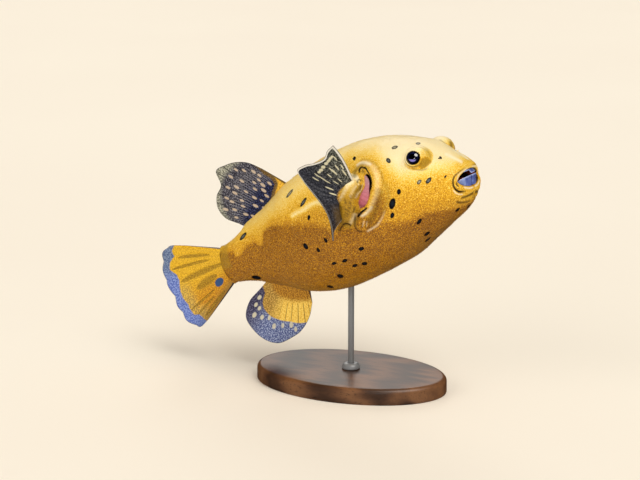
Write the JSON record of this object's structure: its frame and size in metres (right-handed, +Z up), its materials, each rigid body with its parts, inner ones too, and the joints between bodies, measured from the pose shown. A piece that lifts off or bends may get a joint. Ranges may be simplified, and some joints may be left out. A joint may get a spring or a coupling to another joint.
{
  "type": "guineafowl puffer",
  "caption": "Life-size still model of a golden guineafowl puffer, nose up with fins spread, on an oval wooden plinth with a steel rod.",
  "frame": {"origin": "middle of the plinth's underside, which rests on the floor", "axes": "+X the way the fish swims, +Y to the fish's left, +Z up; the fish is pitched 21.9 degrees nose-up"},
  "size_m": [0.3474, 0.165, 0.2575],
  "materials": {
    "skin": "satin, golden yellow skin, cream on the back and stippled brown below",
    "dark_fins": "satin, charcoal navy with rows of cream dashes",
    "anal_fin": "satin, yellow at the root and blue with cream dashes outside",
    "tail_fin": "satin, yellow with a scalloped blue margin",
    "eyes": "polished, blue-black",
    "teeth": "glossy, blue",
    "tongue": "wet, dark red",
    "gills": "wet, rose pink",
    "wood": "oiled walnut",
    "steel": "brushed"
  },
  "bodies": {
    "root": {"head": "skin", "trunk": "skin", "tail_stem": "skin", "pectoral_base_left": "skin", "pectoral_base_right": "skin", "nasal_tentacle_left": "skin", "nasal_tentacle_right": "skin", "dorsal_fin": "dark_fins", "pectoral_fin_left": "dark_fins", "pectoral_fin_right": "dark_fins", "anal_fin": "anal_fin", "caudal_fin": "tail_fin", "eye_left": "eyes", "eye_right": "eyes", "upper_tooth_left": "teeth", "upper_tooth_right": "teeth", "lower_tooth_left": "teeth", "lower_tooth_right": "teeth", "tongue": "tongue", "gill_left": "gills", "gill_right": "gills", "stand_base": "wood", "stand_collar": "steel", "stand_rod": "steel"}
  },
  "joints": []
}
